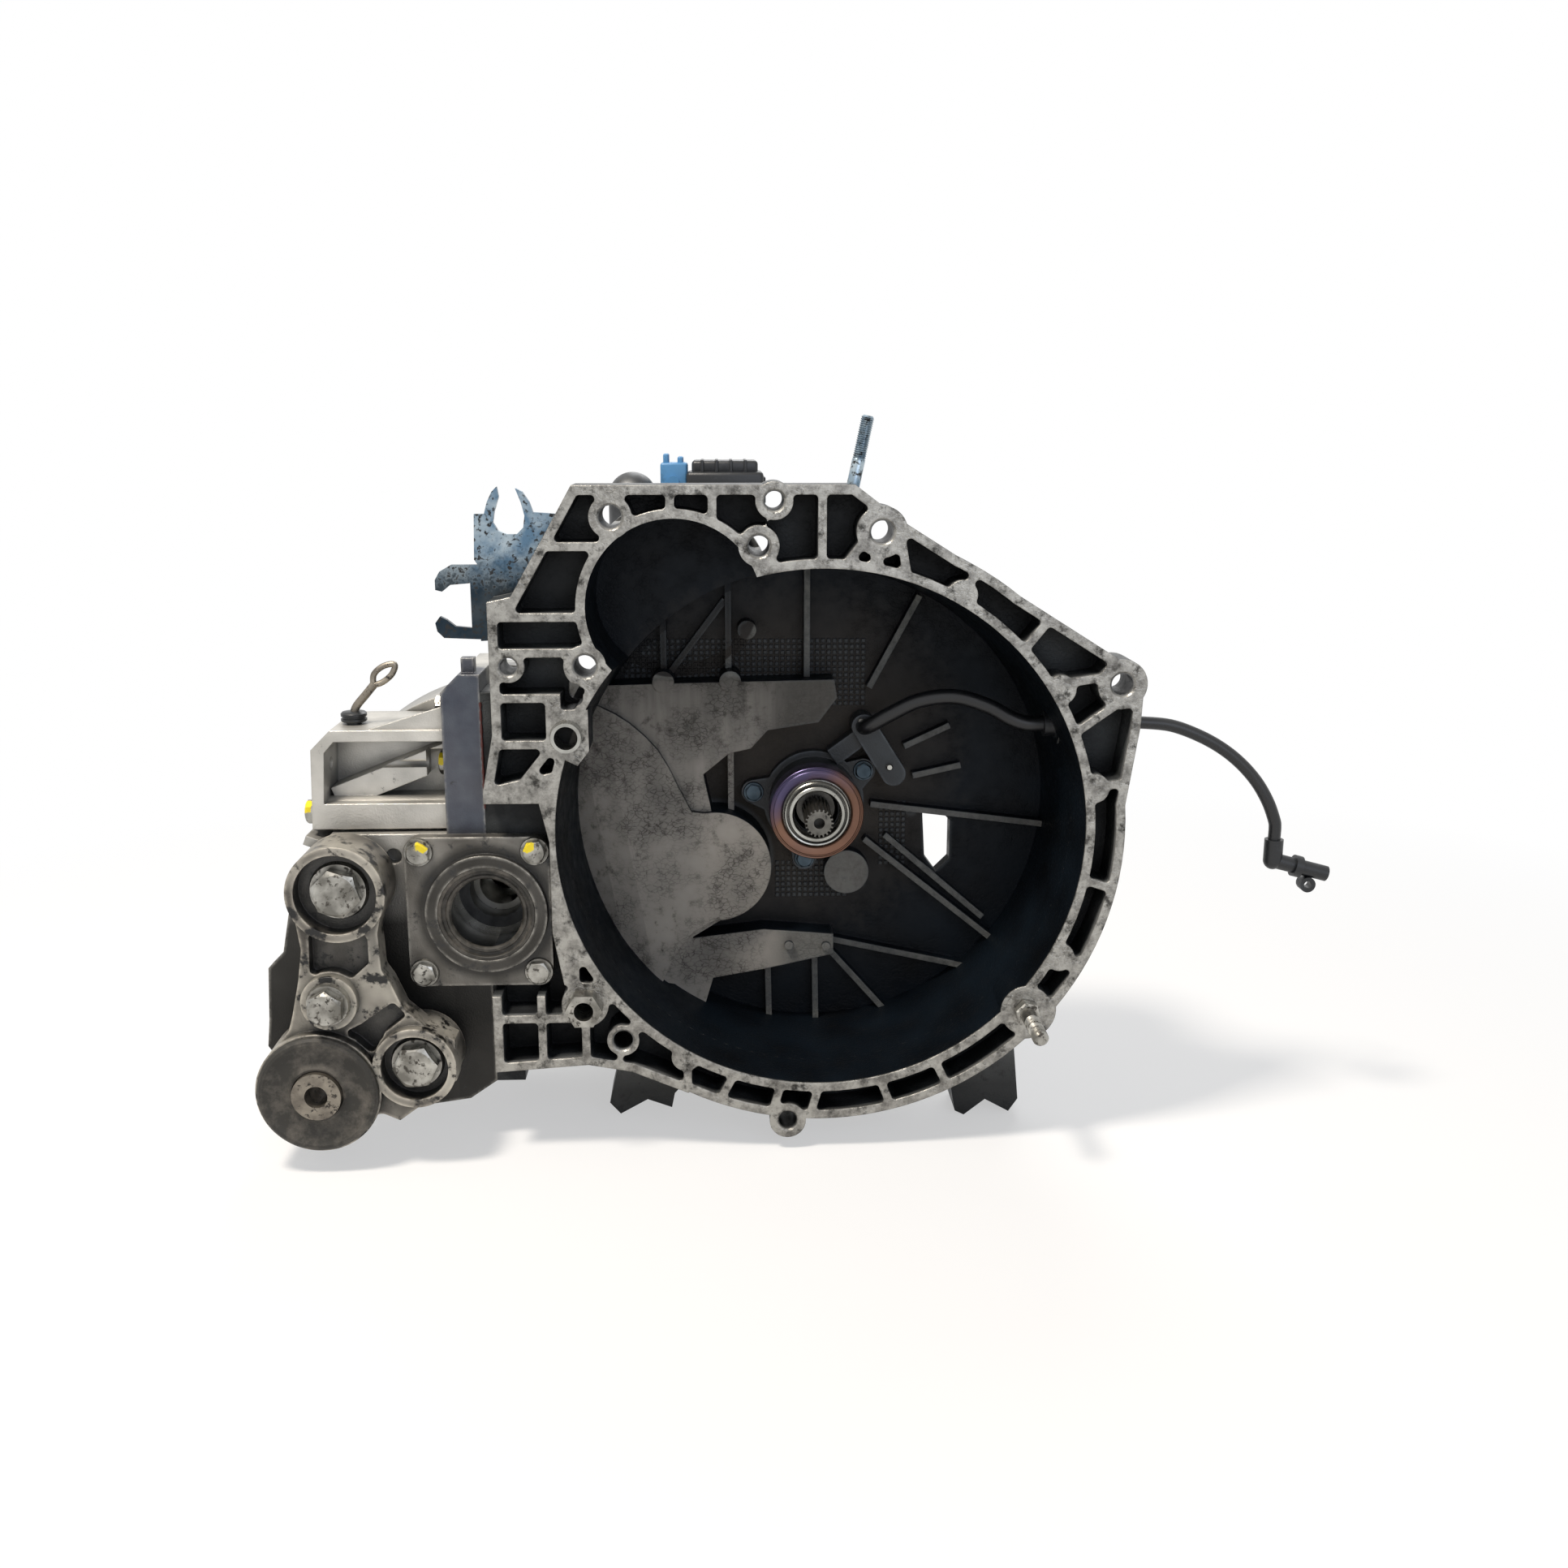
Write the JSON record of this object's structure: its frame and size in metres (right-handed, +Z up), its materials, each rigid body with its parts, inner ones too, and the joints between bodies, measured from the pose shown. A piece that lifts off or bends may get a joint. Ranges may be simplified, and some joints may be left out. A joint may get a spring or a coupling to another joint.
{
  "type": "manual transmission",
  "caption": "Transverse manual transaxle with a ribbed bell housing, release bearing on the input shaft, gear train, differential output and a torque bracket with a rubber bush.",
  "frame": {"origin": "on the input shaft's axis, in the plane of the engine face", "axes": "+Y back through the gearbox, away from the engine; +Z up; +X to the right as seen from the engine"},
  "size_m": [0.681, 0.398, 0.4568],
  "materials": {
    "cast_aluminium": "as cast, oil-stained",
    "cover_aluminium": "as cast",
    "cast_bracket": "rough casting",
    "bolt_steel": "oily plated steel",
    "gear_steel": "ground and hardened",
    "bearing_steel": "ground",
    "copper_ring": "heat-tinted",
    "zinc_sheet": "bright zinc plating",
    "sleeve_bronze": "machined",
    "black_rubber": "matt",
    "black_plastic": "matt moulded",
    "dark_iron": "machined casting"
  },
  "bodies": {
    "case": {"bell_rim": "cast_aluminium", "bell_housing": "cast_aluminium", "bell_floor": "cast_aluminium", "gear_casing": "cast_aluminium", "side_housing": "cast_aluminium", "shift_turret": "cast_aluminium", "end_cover": "cover_aluminium", "output_plate": "cover_aluminium", "slave_cylinder": "cover_aluminium", "torque_bracket": "cast_bracket", "casing_bolts": "bolt_steel", "cover_bolts": "bolt_steel", "side_bolts": "bolt_steel", "output_plate_bolts": "bolt_steel", "bracket_bolts": "bolt_steel", "slave_bolts": "bolt_steel", "turret_bolts": "bolt_steel", "engine_studs": "bolt_steel", "hex_fitting": "bolt_steel", "shift_rail": "gear_steel", "input_bearings": "bearing_steel", "output_bearings": "bearing_steel", "diff_bearings": "bearing_steel", "bush_sleeve": "bearing_steel", "dowel_sleeve": "bearing_steel", "cable_bracket": "zinc_sheet", "output_seal": "black_rubber", "bush_rubber": "black_rubber", "clutch_hose": "black_rubber", "slave_pipe": "black_plastic", "hose_gland": "black_plastic", "hose_elbow": "black_plastic", "breather": "black_plastic"},
    "release": {"release_bearing": "copper_ring", "release_face": "bearing_steel"},
    "input": {"input_shaft": "gear_steel", "input_gears": "gear_steel"},
    "output": {"output_shaft": "gear_steel", "hub_12": "gear_steel", "hub_34": "gear_steel", "hub_5": "gear_steel"},
    "gear1": {"gear_1": "gear_steel"},
    "gear2": {"gear_2": "gear_steel"},
    "gear3": {"gear_3": "gear_steel"},
    "gear4": {"gear_4": "gear_steel"},
    "gear5": {"gear_5": "gear_steel"},
    "sleeve12": {"sleeve_12": "sleeve_bronze"},
    "sleeve34": {"sleeve_34": "sleeve_bronze"},
    "sleeve5": {"sleeve_5": "sleeve_bronze"},
    "fork12": {"fork_12": "gear_steel"},
    "fork34": {"fork_34": "gear_steel"},
    "fork5": {"fork_5": "gear_steel"},
    "selector": {"selector_shaft": "gear_steel", "shift_lever": "dark_iron", "lever_cap": "black_plastic"},
    "differential": {"diff_carrier": "dark_iron", "ring_gear": "gear_steel", "cross_pin": "gear_steel", "diff_pinions": "gear_steel", "side_gears": "gear_steel"}
  },
  "joints": [
    {"name": "input_spin", "type": "hinge", "parent": "case", "child": "input", "pos_m": [0, 0.2, 0], "axis": [0, 1, 0], "continuous": true},
    {"name": "diff_spin", "type": "hinge", "parent": "case", "child": "differential", "pos_m": [-0.20662, 0.1235, -0.05], "axis": [0, 1, 0], "continuous": true},
    {"name": "output_spin", "type": "hinge", "parent": "case", "child": "output", "pos_m": [-0.066, 0.2, -0.03966], "axis": [0, 1, 0], "continuous": true},
    {"name": "gear1_spin", "type": "hinge", "parent": "case", "child": "gear1", "pos_m": [-0.066, 0.2, -0.03966], "axis": [0, 1, 0], "continuous": true},
    {"name": "gear2_spin", "type": "hinge", "parent": "case", "child": "gear2", "pos_m": [-0.066, 0.2, -0.03966], "axis": [0, 1, 0], "continuous": true},
    {"name": "gear3_spin", "type": "hinge", "parent": "case", "child": "gear3", "pos_m": [-0.066, 0.2, -0.03966], "axis": [0, 1, 0], "continuous": true},
    {"name": "gear4_spin", "type": "hinge", "parent": "case", "child": "gear4", "pos_m": [-0.066, 0.2, -0.03966], "axis": [0, 1, 0], "continuous": true},
    {"name": "gear5_spin", "type": "hinge", "parent": "case", "child": "gear5", "pos_m": [-0.066, 0.2, -0.03966], "axis": [0, 1, 0], "continuous": true},
    {"name": "fork12_slide", "type": "slide", "parent": "case", "child": "fork12", "axis": [0, 1, 0], "range_m": [-0.005, 0.005]},
    {"name": "sleeve12_slide", "type": "slide", "parent": "output", "child": "sleeve12", "axis": [0, 1, 0], "range_m": [-0.005, 0.005]},
    {"name": "fork34_slide", "type": "slide", "parent": "case", "child": "fork34", "axis": [0, 1, 0], "range_m": [-0.005, 0.005]},
    {"name": "sleeve34_slide", "type": "slide", "parent": "output", "child": "sleeve34", "axis": [0, 1, 0], "range_m": [-0.005, 0.005]},
    {"name": "fork5_slide", "type": "slide", "parent": "case", "child": "fork5", "axis": [0, 1, 0], "range_m": [-0.005, 0]},
    {"name": "sleeve5_slide", "type": "slide", "parent": "output", "child": "sleeve5", "axis": [0, 1, 0], "range_m": [-0.005, 0]},
    {"name": "release_slide", "type": "slide", "parent": "case", "child": "release", "axis": [0, -1, 0], "range_m": [0, 0.01]},
    {"name": "selector_turn", "type": "hinge", "parent": "case", "child": "selector", "pos_m": [-0.072, 0.204, 0.16], "axis": [0, 0, 1], "range_deg": [-12, 12]}
  ],
  "couplings": [
    {"joint": "gear1_spin", "follows": "input_spin", "ratio": -0.30233},
    {"joint": "gear2_spin", "follows": "input_spin", "ratio": -0.51351},
    {"joint": "gear3_spin", "follows": "input_spin", "ratio": -0.75},
    {"joint": "gear4_spin", "follows": "input_spin", "ratio": -1},
    {"joint": "gear5_spin", "follows": "input_spin", "ratio": -1.24},
    {"joint": "output_spin", "follows": "diff_spin", "ratio": -3.7},
    {"joint": "sleeve12_slide", "follows": "fork12_slide", "ratio": 1},
    {"joint": "sleeve34_slide", "follows": "fork34_slide", "ratio": 1},
    {"joint": "sleeve5_slide", "follows": "fork5_slide", "ratio": 1}
  ]
}
